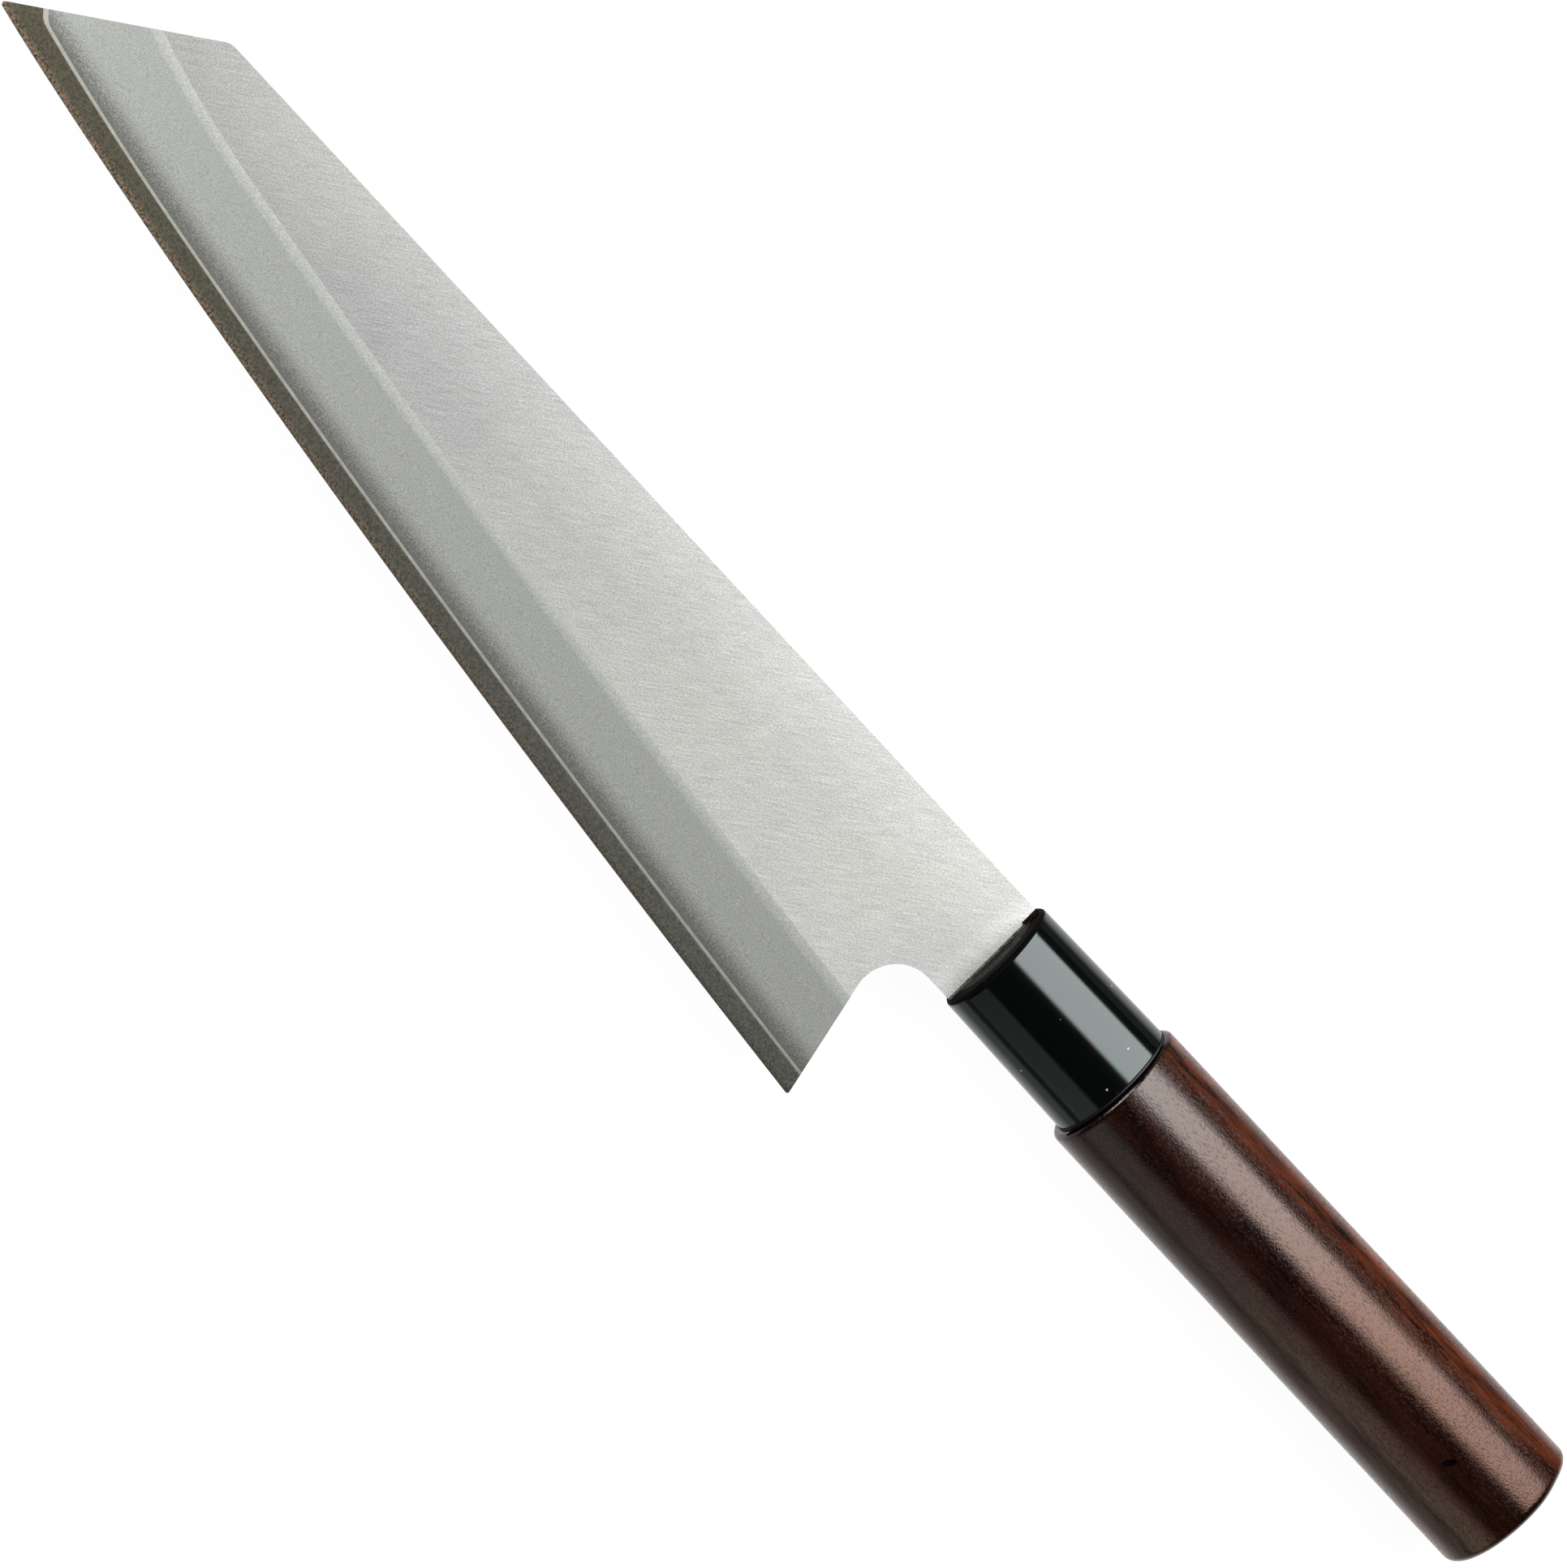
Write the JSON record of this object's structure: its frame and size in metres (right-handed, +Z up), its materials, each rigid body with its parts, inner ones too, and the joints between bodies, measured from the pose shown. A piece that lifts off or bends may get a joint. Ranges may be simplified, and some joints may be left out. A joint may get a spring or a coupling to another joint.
{
  "type": "kiritsuke kitchen knife",
  "caption": "Straight-spined kitchen knife with a clipped tip: laminated blade with ridge line and satin bevel, black moulded ferrule, oval wooden grip.",
  "frame": {"origin": "below the middle of the knife's box, on the surface it lies on", "axes": "+X from the tip to the butt, +Y from the edge to the spine, +Z up out of the left face of the blade"},
  "size_m": [0.343, 0.0516, 0.0214],
  "materials": {
    "core": "dark hard steel, ground and lightly etched",
    "foil": "bright nickel line",
    "cladding": "soft stainless steel, flats brushed aslant and bevel satin",
    "ferrule": "glossy black moulded plastic",
    "wood": "hardwood stained red-brown under satin lacquer",
    "seal": "dark sealing resin",
    "bedding": "cured resin",
    "glue": "cured black glue"
  },
  "bodies": {
    "root": {"core_steel": "core", "left_foil": "foil", "right_foil": "foil", "left_cladding": "cladding", "right_cladding": "cladding", "ferrule": "ferrule", "grip": "wood", "neck_seal": "seal", "tang_bedding": "bedding", "ferrule_glue": "glue"}
  },
  "joints": []
}
